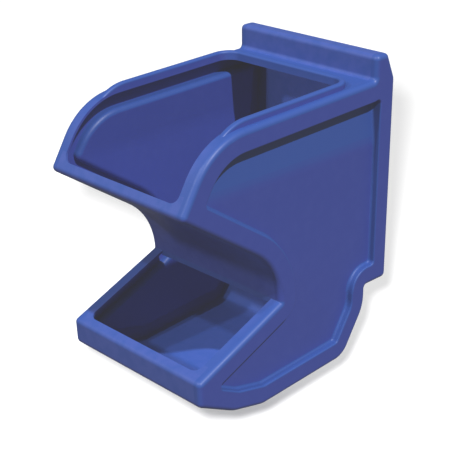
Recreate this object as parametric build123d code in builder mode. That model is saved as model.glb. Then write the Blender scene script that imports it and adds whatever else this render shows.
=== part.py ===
from build123d import *
import os
from math import radians, tan

os.makedirs("parts", exist_ok=True)

# Hanging parts bin with a hopper above and a sloping dispensing tray below, in millimetres.
# +Z is up, the bin's front faces -Y, and the YZ plane is its plane of symmetry.
# The origin is in the middle of the hanger's slot, at the height where a rail carries the bin.

# ---- overall sizes ----
width = 189.0
half_width = width / 2
wall = 2.5
edge_round = 5.0

# ---- hanger strip: an extruded section on the back, whose lip points down behind a rail ----
strip_thickness = 2.5
slot_gap = 5.0
lip_length = 16.0
strip_width = 132.0
strip_top = 22.0
strip_round = 3.0
rivet_radius = 2.0
rivet_head_radius = 4.2
rivet_head_height = 1.6
rivet_head_round = 1.3
rivet_pitch = 36.0
rivet_count = 4
rivet_height = 12.0

# ---- side outline: depths run forward from the back face, drops run down from the rim ----
back_y = -(strip_thickness + slot_gap / 2)
rim_height = 30.0
flange_front = 28.6
flange_top_depth = 11.3
flange_rise = 24.9
chamfer_drop = 1.6
rear_drop = 219.2
notch_depth = 33.0
lower_back_drop = 241.7
heel_depth = 64.0
heel_drop = 290.1
toe_depth = 184.8
toe_drop = 297.2
bend_depth = 224.4
bend_drop = 288.0
tray_bottom_depth = 268.6
tray_bottom_drop = 265.4
tray_top_depth = 269.8
tray_top_drop = 240.0
throat_depth = 160.1
throat_drop = 194.1
throat_radius = 77.0
knee_depth = 162.5
underside_angle = 33.8
lip_depth = 286.8
lip_drop = 71.6
brow_depth = 248.6
brow_drop = 8.2
brow_radius = 73.0
small_round = 5.2

# ---- openings ----
opening_half = 80.0
corner_round = 9.0
rear_corner_round = 15.0
rear_ledge_depth = 59.6
front_band = 11.9
tray_band = 10.5
throat_edge = 4.5
reach = 300.0
lap = 6.0

# ---- side webs, set in from a border that follows the outline ----
border = 21.0
web_depth = 7.5
web_depth_top = 12.0
fold_drop = 65.0
web_round = 2.5
fold_radius = 120.0
web_corner = 4.0
mouth_round = 1.6

# ---- raised bead along both sides and the rear of the hopper's opening ----
bead_width = 6.5
bead_rise = 6.6
bead_brow_depth = 199.6
bead_brow_radius = 54.0
bead_brow_turn = 62.0
bead_round = 2.4


def at(depth, drop):
    """A point of the side view, as (y, z)."""
    return (back_y - depth, rim_height - drop)


# The hopper's sloping underside would meet the throat's upright line at this knee.
knee_drop = lip_drop + (lip_depth - knee_depth) * tan(radians(underside_angle))

# Corners of the side outline with their radii, starting at the flange's front base.
corners = [
    (at(flange_front, 0), 4.0),
    (at(flange_front, -flange_rise), small_round),
    (at(flange_top_depth, -flange_rise), small_round),
    (at(0, chamfer_drop), 9.0),
    (at(0, rear_drop), 6.0),
    (at(notch_depth, rear_drop), 3.0),
    (at(notch_depth, lower_back_drop), 41.0),
    (at(heel_depth, heel_drop), 24.0),
    (at(toe_depth, toe_drop), 30.0),
    (at(bend_depth, bend_drop), 40.0),
    (at(tray_bottom_depth, tray_bottom_drop), 6.0),
    (at(tray_top_depth, tray_top_drop), small_round),
    (at(throat_depth, throat_drop), 1.0),
    (at(knee_depth, knee_drop), throat_radius),
    (at(lip_depth, lip_drop), small_round),
    (at(brow_depth, brow_drop), brow_radius),
]


def outline(inset=0.0, corner=0.0):
    """The side outline, drawn in by the inset, with outer corners of at least the corner's radius."""
    with BuildSketch() as profile:
        with BuildLine():
            FilletPolyline([point for point, _ in corners], radius=[r for _, r in corners], close=True)
        make_face()
        if inset:
            offset(amount=-inset - corner)
        if corner:
            offset(amount=corner)
    return profile.sketch


def strip(window, thickness):
    """The part of the skin's section that lies inside a window of (depth, drop) points."""
    with BuildSketch(Plane.YZ) as section:
        add(outline())
        add(outline(thickness), mode=Mode.SUBTRACT)
        with BuildLine():
            Polyline([at(*point) for point in window], close=True)
        make_face(mode=Mode.INTERSECT)
    return section.sketch


def mouth(plane, near_edge, rounding):
    """A block across an opening, in a plane whose Y leads into the opening, with two round corners."""
    with BuildPart(mode=Mode.PRIVATE) as block:
        with BuildSketch(plane):
            with Locations((0, near_edge + reach / 2)):
                Rectangle(2 * opening_half, reach)
        extrude(amount=reach / 2, both=True)
        inward = plane.y_dir
        near = block.edges().filter_by(Axis(plane.origin, plane.z_dir)).sort_by(Axis(plane.origin, inward))
        fillet(near[:2], rounding)
    return block.part


# ---- bead: a rounded rib behind and beside the hopper's opening, which curves down across the brow ----
ledge_slope = brow_drop / (brow_depth - flange_front)
hopper_top = Plane(origin=(0, *at(0, 0)), x_dir=(-1, 0, 0), z_dir=(0, 0, 1))
bead_outer = opening_half + bead_width
bead_rear_depth = rear_ledge_depth - bead_width


def above_ledge(depth, rise):
    """A point at a height above the sloping ledge, as (y, z)."""
    return at(depth, (depth - flange_front) * ledge_slope - rise)


def bead(low_x, high_x):
    """The part of the bead between two planes across X."""
    with BuildPart(mode=Mode.PRIVATE) as rib:
        with BuildSketch(Plane.YZ):
            with BuildLine():
                top_front = above_ledge(bead_brow_depth, bead_rise)
                top = Polyline(
                    above_ledge(bead_rear_depth, -2 * wall),
                    above_ledge(bead_rear_depth, bead_rise),
                    top_front,
                )
                heading = top % 1
                curve = JernArc(top_front, tangent=heading, radius=bead_brow_radius, arc_size=bead_brow_turn)
                Line(curve @ 1, top @ 0)
            make_face()
        extrude(amount=bead_outer, both=True)
        rear_corners = rib.edges().filter_by(Axis.Z).sort_by(Axis.Y)[-2:]
        fillet(rear_corners, rear_corner_round + bead_width)
        add(mouth(hopper_top, rear_ledge_depth, rear_corner_round), mode=Mode.SUBTRACT)
        crest = rib.faces().filter_by(lambda face: face.normal_at().Z > 0.1)
        across = crest.edges().filter_by(Axis.X).filter_by(lambda edge: edge.length < 2 * bead_width)
        fillet(crest.edges() - across, bead_round)
        with BuildSketch(Plane.YZ):
            add(outline(wall))
        extrude(amount=bead_outer, both=True, mode=Mode.SUBTRACT)
        with BuildSketch(Plane.YZ.offset(low_x)):
            Rectangle(2 * reach, 2 * reach)
        extrude(amount=high_x - low_x, mode=Mode.INTERSECT)
    return rib.part


# ---- centre skins: bent sheets between the side shells, with half-lap edges ----
chamfer_seam = [(-1.8, -14.8), (16.8, -7.0)]
notch_seam = 228.0
tray_seam = 254.0
lip_seam = 262.0

# The back panel: the back face, the lower half of its top chamfer and the notch below it.
with BuildPart() as back_panel:
    window = [*chamfer_seam, (18.2, 205), (45, 205), (45, notch_seam), (-10, notch_seam), (-10, -18)]
    extrude(strip(window, wall), amount=opening_half, both=True)
    extrude(strip(window, wall / 2), amount=opening_half + lap, both=True)
    with BuildSketch(Plane.XZ.offset(-back_y)):
        with Locations((0, rivet_height)):
            with GridLocations(rivet_pitch, 0, rivet_count, 1):
                Circle(rivet_radius)
    extrude(amount=wall, mode=Mode.SUBTRACT)

# The hanging flange: the upper half of the chamfer, the flange's top and front, and the rear ledge
# with its bead.
with BuildPart() as hang_flange:
    ledge_end = rear_ledge_depth + rear_corner_round
    over_flange = [(40, -12), (40, -40), (-3.2, -40)]
    window = [*chamfer_seam, (18.2, 12), (ledge_end, 12), (ledge_end, -12), *over_flange]
    extrude(strip(window, wall), amount=opening_half, both=True)
    # The lap stops behind the bead.
    window = [*chamfer_seam, (18.2, 12), (50, 12), (50, -12), *over_flange]
    extrude(strip(window, wall / 2), amount=opening_half + lap, both=True)
    add(mouth(hopper_top, rear_ledge_depth, rear_corner_round), mode=Mode.SUBTRACT)
    add(bead(-opening_half, opening_half))

# The front lip: the band across the hopper's front and the bend under it.
with BuildPart() as front_lip:
    window = [(281.1, 50.4), (264.8, 60.2), (lip_seam, 62), (lip_seam, 110), (300, 110), (300, 50.4)]
    extrude(strip(window, wall), amount=opening_half, both=True)
    extrude(strip(window, wall / 2), amount=opening_half + lap, both=True)
    lip_corner = Vector(0, *at(lip_depth, lip_drop))
    up_the_lip = (Vector(0, *at(brow_depth, brow_drop)) - lip_corner).normalized()
    opening = Plane(origin=lip_corner, x_dir=(1, 0, 0), z_dir=Vector(1, 0, 0).cross(up_the_lip))
    add(mouth(opening, front_band, corner_round), mode=Mode.SUBTRACT)

# The throat wall: the hopper's sloping underside, the hollow curve below it and its free lower edge.
with BuildPart() as throat_wall:
    window = [(lip_seam, 60), (lip_seam, 110), (236, 193), (150, 193), (150, 60)]
    extrude(strip(window, wall), amount=opening_half, both=True)
    extrude(strip(window, wall / 2), amount=opening_half + lap, both=True)
    with BuildSketch(Plane.YZ):
        with Locations(at(throat_depth - wall / 2, throat_drop + throat_edge)):
            Rectangle(wall, throat_edge + 2, align=(Align.CENTER, Align.MIN))
    extrude(amount=opening_half, both=True)

# The tray front: the tray's front wall and the band across the front of its opening.
with BuildPart() as tray_front:
    rim_end = tray_top_depth - tray_band - corner_round
    window = [(tray_seam, 320), (300, 320), (300, 215), (rim_end, 215), (rim_end, 255), (tray_seam, 255)]
    extrude(strip(window, wall), amount=opening_half, both=True)
    extrude(strip(window, wall / 2), amount=opening_half + lap, both=True)
    tray_corner = Vector(0, *at(tray_top_depth, tray_top_drop))
    up_the_tray = (Vector(0, *at(throat_depth, throat_drop)) - tray_corner).normalized()
    opening = Plane(origin=tray_corner, x_dir=(1, 0, 0), z_dir=Vector(1, 0, 0).cross(up_the_tray))
    add(mouth(opening, tray_band, corner_round), mode=Mode.SUBTRACT)

# The floor pan: the sloping and level bottom and the rounded heel, up to the notch.
with BuildPart() as floor_pan:
    window = [(25, notch_seam), (50, notch_seam), (50, 250), (80, 270)]
    window += [(tray_seam, 255), (tray_seam, 320), (25, 320)]
    extrude(strip(window, wall), amount=opening_half, both=True)
    extrude(strip(window, wall / 2), amount=opening_half + lap, both=True)

# ---- side shells: half-hollow sides with a return round the whole outline ----
# A web's face is two planes with a soft fold between them, lying deeper towards the rim.
fold_height = rim_height - fold_drop
web_top_height = rim_height - border
web_slope = (web_depth_top - web_depth) / (web_top_height - fold_height)
web_block = 30.0
overrun = 20.0
far = 400.0


def web_space(inset, sink, outer_x):
    """The room outside a web's face, for an outline inset and a face sunk by that much more."""
    with BuildPart(mode=Mode.PRIVATE) as space:
        with BuildSketch(Plane.YZ.offset(half_width - web_block)):
            add(outline(inset, web_corner + sink))
        extrude(amount=outer_x - half_width + web_block)
        with BuildSketch(Plane.XZ):
            with BuildLine():
                face_x = half_width - web_depth - sink
                top_x = half_width - web_depth_top - web_slope * overrun - sink
                FilletPolyline(
                    (outer_x + 1, web_top_height + overrun),
                    (top_x, web_top_height + overrun),
                    (face_x, fold_height),
                    (face_x, -far),
                    (outer_x + 1, -far),
                    radius=[0, 0, fold_radius, 0, 0],
                    close=True,
                )
            make_face()
        extrude(amount=far, both=True, mode=Mode.INTERSECT)
        deep = space.edges().filter_by_position(Axis.X, half_width - web_block, face_x + 0.01)
        # The two lines where the fold's curve begins and ends stay as they are.
        level = deep.filter_by(Axis.Y)
        across = level.filter_by_position(Axis.Z, fold_height - overrun, fold_height + overrun)
        fillet(deep - across, web_round + sink)
    return space.part


with BuildPart() as side_shell_right:
    with BuildSketch(Plane.YZ.offset(opening_half)):
        add(outline())
    extrude(amount=half_width - opening_half)
    outer = side_shell_right.faces().sort_by(Axis.X)[-1]
    fillet(outer.edges(), edge_round)
    with BuildSketch(Plane.YZ.offset(opening_half - 1)):
        add(outline(wall))
    extrude(amount=half_width - wall - opening_half + 1, mode=Mode.SUBTRACT)
    add(web_space(border - wall, wall, half_width))
    add(web_space(border, 0.0, half_width + 1), mode=Mode.SUBTRACT)
    web_mouth = side_shell_right.edges(Select.LAST)
    fillet(web_mouth.filter_by_position(Axis.X, half_width - 0.01, half_width + 0.01), mouth_round)
    add(bead(opening_half, bead_outer))
    # Each skin's tongue leaves its half-lap in the return.
    for skin in (back_panel, hang_flange, front_lip, throat_wall, tray_front, floor_pan):
        add(skin.part, mode=Mode.SUBTRACT)

with BuildPart() as side_shell_left:
    mirror(side_shell_right.part, about=Plane.YZ)

# ---- hanger strip: a flat plate with a hook, whose bridge rests on the rail ----
with BuildPart() as hanger_strip:
    with BuildSketch(Plane.YZ):
        with BuildLine():
            plate_y = back_y + strip_thickness
            lip_y = plate_y + slot_gap
            Polyline(
                (back_y, -lip_length),
                (back_y, strip_top),
                (plate_y, strip_top),
                (plate_y, strip_thickness),
                (lip_y + strip_thickness, strip_thickness),
                (lip_y + strip_thickness, -lip_length),
                (lip_y, -lip_length),
                (lip_y, 0),
                (plate_y, 0),
                (plate_y, -lip_length),
                close=True,
            )
        make_face()
    extrude(amount=strip_width / 2, both=True)
    bend = hanger_strip.edges().filter_by(Axis.X).sort_by(Axis.Y)[-2:].sort_by(Axis.Z)[-1]
    fillet(bend, strip_thickness)
    tips = hanger_strip.edges().filter_by(Axis.Y).filter_by(lambda edge: edge.length < 2 * strip_thickness)
    fillet(tips, strip_round)
    with BuildSketch(Plane.XZ.offset(-back_y)):
        with Locations((0, rivet_height)):
            with GridLocations(rivet_pitch, 0, rivet_count, 1):
                Circle(rivet_radius)
    extrude(amount=-strip_thickness, mode=Mode.SUBTRACT)

# ---- rivets: four alike, through the strip and the back panel ----
with BuildPart() as hanger_rivets:
    shank_start = back_y + strip_thickness + rivet_head_height
    inner_start = back_y - wall
    with BuildSketch(Plane.XZ.offset(-shank_start)):
        with Locations((0, rivet_height)):
            with GridLocations(rivet_pitch, 0, rivet_count, 1):
                Circle(rivet_radius)
    extrude(amount=strip_thickness + wall + 2 * rivet_head_height)
    for head_y in (shank_start, inner_start):
        with BuildSketch(Plane.XZ.offset(-head_y)):
            with Locations((0, rivet_height)):
                with GridLocations(rivet_pitch, 0, rivet_count, 1):
                    Circle(rivet_head_radius)
        extrude(amount=rivet_head_height)
    rims = hanger_rivets.edges().filter_by(GeomType.CIRCLE)
    rims = rims.filter_by(lambda edge: abs(edge.radius - rivet_head_radius) < 0.1)
    by_depth = rims.group_by(Axis.Y)
    fillet(by_depth[0] + by_depth[-1], rivet_head_round)

nodes = {
    "side_shell_right": side_shell_right,
    "side_shell_left": side_shell_left,
    "back_panel": back_panel,
    "hang_flange": hang_flange,
    "front_lip": front_lip,
    "throat_wall": throat_wall,
    "tray_front": tray_front,
    "floor_pan": floor_pan,
    "hanger_strip": hanger_strip,
    "hanger_rivets": hanger_rivets,
}
for name, node in nodes.items():
    node.part.label = name
    export_step(node.part, f"parts/{name}.step")
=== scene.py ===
from math import cos, radians, sin

import bmesh
import bpy
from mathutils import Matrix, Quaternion, Vector


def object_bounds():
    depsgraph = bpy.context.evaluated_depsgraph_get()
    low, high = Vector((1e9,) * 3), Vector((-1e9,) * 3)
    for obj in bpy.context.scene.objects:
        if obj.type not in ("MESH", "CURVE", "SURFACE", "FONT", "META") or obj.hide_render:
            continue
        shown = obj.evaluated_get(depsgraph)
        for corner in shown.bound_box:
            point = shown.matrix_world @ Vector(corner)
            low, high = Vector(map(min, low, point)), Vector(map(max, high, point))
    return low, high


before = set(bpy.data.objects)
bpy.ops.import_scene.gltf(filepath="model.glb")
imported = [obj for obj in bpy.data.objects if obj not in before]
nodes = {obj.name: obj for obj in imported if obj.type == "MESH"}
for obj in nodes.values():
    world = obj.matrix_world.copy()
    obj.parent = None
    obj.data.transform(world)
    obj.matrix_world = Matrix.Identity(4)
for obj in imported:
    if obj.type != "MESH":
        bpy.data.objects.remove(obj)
cad_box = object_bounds()

PLASTIC = (
    "side_shell_right", "side_shell_left", "back_panel", "hang_flange",
    "front_lip", "throat_wall", "tray_front", "floor_pan",
)
HANGING_GAP = 0.10  # clear height under the bin, which hangs above the floor
FLOOR_HALF = 12.0
WORLD_STRENGTH = 0.14
TONE_LIFT = 0.030  # the darkest tone that the picture shows
SUN_DISTANCE = 3.0

CAMERA_PLACE = (0.7962, -0.9182, 0.3582)
CAMERA_AZIMUTH = radians(46.0)
CAMERA_ELEVATION = radians(23.15)
CAMERA_ROLL = radians(-0.46)
SENSOR_WIDTH = 36.0
LENS = 95.41

LAMP_LEFT = 0.045
LAMP_UP = 0.055
LAMP_RADIUS = 0.035
LAMP_STRENGTH = 60.0

SCRATCH_STRETCH = (60.0, 9.0, 240.0)
SCRATCH_TILT = radians(24.0)
DIE_LINE_STRETCH = (4.0, 900.0, 900.0)


# ---- material helpers ----
class Tree:
    """A short way to add shader nodes and link them."""

    def __init__(self, name):
        self.material = bpy.data.materials.new(name)
        self.material.use_nodes = True
        self.nodes = self.material.node_tree.nodes
        self.links = self.material.node_tree.links
        self.shader = self.nodes["Principled BSDF"]

    def put(self, socket, value):
        if isinstance(value, bpy.types.NodeSocket):
            self.links.new(value, socket)
        else:
            socket.default_value = value

    def add(self, kind, settings=None, **inputs):
        node = self.nodes.new(kind)
        for key, value in (settings or {}).items():
            setattr(node, key, value)
        for key, value in inputs.items():
            self.put(node.inputs[key.replace("_", " ")], value)
        return node

    def noise(self, vector, scale, detail=2.0, roughness=0.5):
        node = self.add("ShaderNodeTexNoise", Scale=scale, Detail=detail, Roughness=roughness, Vector=vector)
        return node.outputs["Fac"]

    def remap(self, value, low, high, to_low, to_high):
        node = self.add("ShaderNodeMapRange", {"clamp": True})
        for index, item in enumerate((value, low, high, to_low, to_high)):
            self.put(node.inputs[index], item)
        return node.outputs[0]

    def math(self, operation, a, b=0.0):
        node = self.add("ShaderNodeMath", {"operation": operation})
        self.put(node.inputs[0], a)
        self.put(node.inputs[1], b)
        return node.outputs[0]

    def mix(self, factor, a, b):
        node = self.add("ShaderNodeMix", {"data_type": "RGBA"})
        self.put(node.inputs[0], factor)
        self.put(node.inputs[6], a)
        self.put(node.inputs[7], b)
        return node.outputs[2]

    def bump(self, height, strength, distance, normal=None):
        node = self.add("ShaderNodeBump", Strength=strength, Distance=distance, Height=height)
        if normal is not None:
            self.put(node.inputs["Normal"], normal)
        return node.outputs["Normal"]


def moulded_plastic(name, colour, pale, deep, painted_lit_colour):
    """Moulded polyethylene: a fine grain, a slow waviness, small scuffs, paler edges (rubbed wear plus a
    painted highlight), and painted light that tints faces looking up or forwards.
    """
    t = Tree(name)
    place = t.add("ShaderNodeTexCoord").outputs["Object"]
    cloud = t.noise(place, 9.0, 3.0, 0.55)
    mottle = t.noise(place, 85.0, 3.0, 0.6)
    grain = t.noise(place, 2600.0, 2.0, 0.6)
    orange_peel = t.noise(place, 420.0, 2.0, 0.5)
    wave = t.noise(place, 22.0, 1.0, 0.4)

    base = t.mix(t.remap(cloud, 0.35, 0.65, 0.0, 0.35), colour, deep)
    base = t.mix(t.remap(mottle, 0.45, 0.75, 0.0, 0.10), base, pale)

    # Painted light: faces that look upwards or forwards are painted a little greener and paler, as if lit
    # more strongly.
    facing = t.add("ShaderNodeSeparateXYZ", Vector=t.add("ShaderNodeNewGeometry").outputs["Normal"])
    forwards = t.math("MULTIPLY", facing.outputs["Y"], -0.9)
    painted_light_mask = t.math("ADD", t.math("MULTIPLY", facing.outputs["Z"], 7.0), forwards)
    painted_light_mask = t.remap(painted_light_mask, 0.15, 0.75, 0.0, 1.0)
    base = t.mix(painted_light_mask, base, painted_lit_colour)

    # Convex edges are painted paler, unevenly: partly rubbed wear, partly a painted highlight on the rounded
    # edges.
    edge = t.add("ShaderNodeNewGeometry").outputs["Pointiness"]
    edge_wear_and_highlight = t.math("MULTIPLY", t.remap(edge, 0.515, 0.60, 0.0, 1.0), t.remap(mottle, 0.35, 0.6, 0.35, 1.0))
    base = t.mix(t.math("MULTIPLY", edge_wear_and_highlight, 0.45), base, pale)

    # Long faint scratches, drawn out along the bin's depth.
    stretched = t.add("ShaderNodeMapping", Vector=place)
    stretched.inputs["Scale"].default_value = SCRATCH_STRETCH
    stretched.inputs["Rotation"].default_value = (SCRATCH_TILT, 0.0, 0.0)
    scratch = t.noise(stretched.outputs["Vector"], 3.0, 4.0, 0.7)
    scratch = t.remap(scratch, 0.66, 0.72, 0.0, 1.0)
    scuffed = t.math("MULTIPLY", scratch, t.remap(t.noise(place, 14.0, 2.0), 0.5, 0.62, 0.0, 1.0))
    base = t.mix(t.math("MULTIPLY", scuffed, 0.16), base, pale)

    t.put(t.shader.inputs["Base Color"], base)
    rough = t.remap(t.noise(place, 60.0, 4.0, 0.65), 0.3, 0.7, 0.40, 0.52)
    rough = t.math("ADD", rough, t.math("MULTIPLY", scuffed, 0.12))
    t.put(t.shader.inputs["Roughness"], rough)
    t.shader.inputs["Specular IOR Level"].default_value = 0.38

    normal = t.bump(wave, 0.14, 0.0010)
    normal = t.bump(orange_peel, 0.16, 0.0002, normal)
    normal = t.bump(grain, 0.20, 0.00005, normal)
    normal = t.bump(scuffed, 0.10, 0.00004, normal)
    t.put(t.shader.inputs["Normal"], normal)
    return t.material


def extruded_aluminium(name, tone):
    """Satin aluminium with die lines along X, dull patches and bright rubbed edges."""
    t = Tree(name)
    place = t.add("ShaderNodeTexCoord").outputs["Object"]
    lines = t.add("ShaderNodeMapping", Vector=place)
    lines.inputs["Scale"].default_value = DIE_LINE_STRETCH
    die = t.noise(lines.outputs["Vector"], 1.0, 4.0, 0.7)
    patch = t.noise(place, 70.0, 4.0, 0.6)
    speck = t.noise(place, 900.0, 2.0, 0.6)
    dark = tuple(0.62 * c for c in tone[:3]) + (1.0,)
    bright = tuple(min(1.0, 1.2 * c) for c in tone[:3]) + (1.0,)
    base = t.mix(t.remap(patch, 0.35, 0.7, 0.0, 0.5), tone, dark)
    base = t.mix(t.remap(die, 0.4, 0.7, 0.0, 0.25), base, bright)
    base = t.mix(t.remap(speck, 0.62, 0.75, 0.0, 0.35), base, dark)
    edge = t.add("ShaderNodeNewGeometry").outputs["Pointiness"]
    base = t.mix(t.remap(edge, 0.52, 0.60, 0.0, 0.6), base, bright)
    t.put(t.shader.inputs["Base Color"], base)
    t.shader.inputs["Metallic"].default_value = 1.0
    t.put(t.shader.inputs["Roughness"], t.remap(patch, 0.3, 0.7, 0.28, 0.48))
    normal = t.bump(die, 0.18, 0.00008)
    normal = t.bump(speck, 0.12, 0.00004, normal)
    t.put(t.shader.inputs["Normal"], normal)
    return t.material


def pale_floor():
    t = Tree("floor_matte")
    place = t.add("ShaderNodeTexCoord").outputs["Object"]
    patch = t.noise(place, 1.5, 3.0, 0.5)
    t.put(t.shader.inputs["Base Color"], t.mix(patch, (0.93, 0.93, 0.93, 1.0), (0.96, 0.96, 0.96, 1.0)))
    t.put(t.shader.inputs["Roughness"], t.remap(t.noise(place, 30.0), 0.3, 0.7, 0.85, 0.95))
    return t.material


BLUE = (0.032, 0.057, 0.325, 1.0)
BLUE_PALE = (0.075, 0.110, 0.420, 1.0)
BLUE_DEEP = (0.034, 0.055, 0.310, 1.0)
# Painted light: the next colour tints faces that look up or forwards, as if lit more strongly.
BLUE_PAINTED_LIT = (0.022, 0.074, 0.330, 1.0)
ALUMINIUM = (0.72, 0.73, 0.74, 1.0)
RIVET_TONE = (0.62, 0.63, 0.64, 1.0)

plastic = moulded_plastic("moulded_blue", BLUE, BLUE_PALE, BLUE_DEEP, BLUE_PAINTED_LIT)
strip_metal = extruded_aluminium("strip_aluminium", ALUMINIUM)
rivet_metal = extruded_aluminium("rivet_aluminium", RIVET_TONE)


def dress(name, material):
    mesh = nodes[name].data
    if not mesh.materials:
        mesh.materials.append(material)
    for index in range(len(mesh.materials)):
        mesh.materials[index] = material


for node_name in PLASTIC:
    dress(node_name, plastic)
dress("hanger_strip", strip_metal)
dress("hanger_rivets", rivet_metal)


# ---- stage: floor, light and camera ----
def plane(name, size, z, material):
    mesh = bpy.data.meshes.new(name)
    shape = bmesh.new()
    bmesh.ops.create_grid(shape, x_segments=2, y_segments=2, size=size)
    shape.to_mesh(mesh)
    shape.free()
    mesh.materials.append(material)
    made = bpy.data.objects.new(name, mesh)
    made.location = (0.0, 0.0, z)
    bpy.context.scene.collection.objects.link(made)
    return made


floor = plane("floor", FLOOR_HALF, cad_box[0].z - HANGING_GAP, pale_floor())
floor.visible_diffuse = False
floor.visible_glossy = False

world = bpy.data.worlds.new("studio")
world.use_nodes = True
background = world.node_tree.nodes["Background"]
background.inputs["Color"].default_value = (1.0, 1.0, 1.0, 1.0)
background.inputs["Strength"].default_value = WORLD_STRENGTH
bpy.context.scene.world = world

centre = (cad_box[0] + cad_box[1]) / 2


def add_light(name, kind, strength, place, receivers):
    """A light that shines from a place towards the bin's middle and only lights the receivers."""
    light = bpy.data.lights.new(name, kind)
    light.energy = strength
    made = bpy.data.objects.new(name, light)
    made.location = place
    made.rotation_mode = "QUATERNION"
    made.rotation_quaternion = (centre - made.location).to_track_quat("-Z", "Y")
    bpy.context.scene.collection.objects.link(made)
    group = bpy.data.collections.new(name + "_lit")
    for item in receivers:
        group.objects.link(item)
    made.light_linking.receiver_collection = group
    return made


def add_sun(name, come_from, strength, spread, receivers):
    place = centre + Vector(come_from).normalized() * SUN_DISTANCE
    made = add_light(name, "SUN", strength, place, receivers)
    made.data.angle = radians(spread)


camera = bpy.data.cameras.new("camera")
camera.sensor_width = SENSOR_WIDTH
camera.lens = LENS
camera.clip_start = 0.05
camera.clip_end = 50.0
camera_object = bpy.data.objects.new("camera", camera)
camera_object.location = CAMERA_PLACE
level = cos(CAMERA_ELEVATION)
away = Vector((sin(CAMERA_AZIMUTH) * level, -cos(CAMERA_AZIMUTH) * level, sin(CAMERA_ELEVATION)))
turn = Quaternion((0.0, 0.0, 1.0), CAMERA_ROLL)
camera_object.rotation_mode = "QUATERNION"
camera_object.rotation_quaternion = (-away).to_track_quat("-Z", "Y") @ turn
bpy.context.scene.collection.objects.link(camera_object)
bpy.context.scene.camera = camera_object

object_nodes = list(nodes.values())
# Name, where the light comes from, strength, spread in degrees, and what it lights. The two weak inside
# lights reach the back wall through the hopper's mouth and the tray's floor.
suns = [
    ("key", (0.76, -0.18, 0.98), 3.25, 1.5, object_nodes),
    ("front", (0.06, -0.62, 0.78), 0.80, 1.5, object_nodes),
    ("fill", (-0.25, -0.75, 0.62), 1.0, 3.0, object_nodes),
    ("rear", (-0.62, 0.78, 0.02), 1.7, 2.0, object_nodes),
    ("inside_back", (0.0, -0.95, 0.17), 0.80, 3.0, [nodes["back_panel"]]),
    ("inside_tray", (0.12, -0.80, 0.62), 0.95, 3.0, [nodes["floor_pan"]]),
    ("floor_dome", (0.0, 0.0, 1.0), 2.15, 170.0, [floor]),
]
for sun in suns:
    add_sun(*sun)
bpy.data.objects["rear"].visible_glossy = False

# The floor's own lamp stands just above and to the left of the camera, so that the bin's shadow on
# the floor shows as a soft rim along its right and lower edges.
across = camera_object.rotation_quaternion @ Vector((1.0, 0.0, 0.0))
upward = camera_object.rotation_quaternion @ Vector((0.0, 1.0, 0.0))
lamp_place = camera_object.location - LAMP_LEFT * across + LAMP_UP * upward
lamp = add_light("floor_lamp", "POINT", 1.0, lamp_place, [floor]).data
lamp.shadow_soft_size = LAMP_RADIUS
lamp.use_nodes = True
falloff = lamp.node_tree.nodes.new("ShaderNodeLightFalloff")
falloff.inputs["Strength"].default_value = LAMP_STRENGTH
emission = lamp.node_tree.nodes["Emission"]
lamp.node_tree.links.new(falloff.outputs["Constant"], emission.inputs["Strength"])

settings = bpy.context.scene.view_settings
settings.view_transform = "Standard"
settings.use_curve_mapping = True
tone = settings.curve_mapping.curves[3]
tone.points[0].location = (0.0, TONE_LIFT)
tone.points[1].location = (1.0, 1.0)
settings.curve_mapping.update()
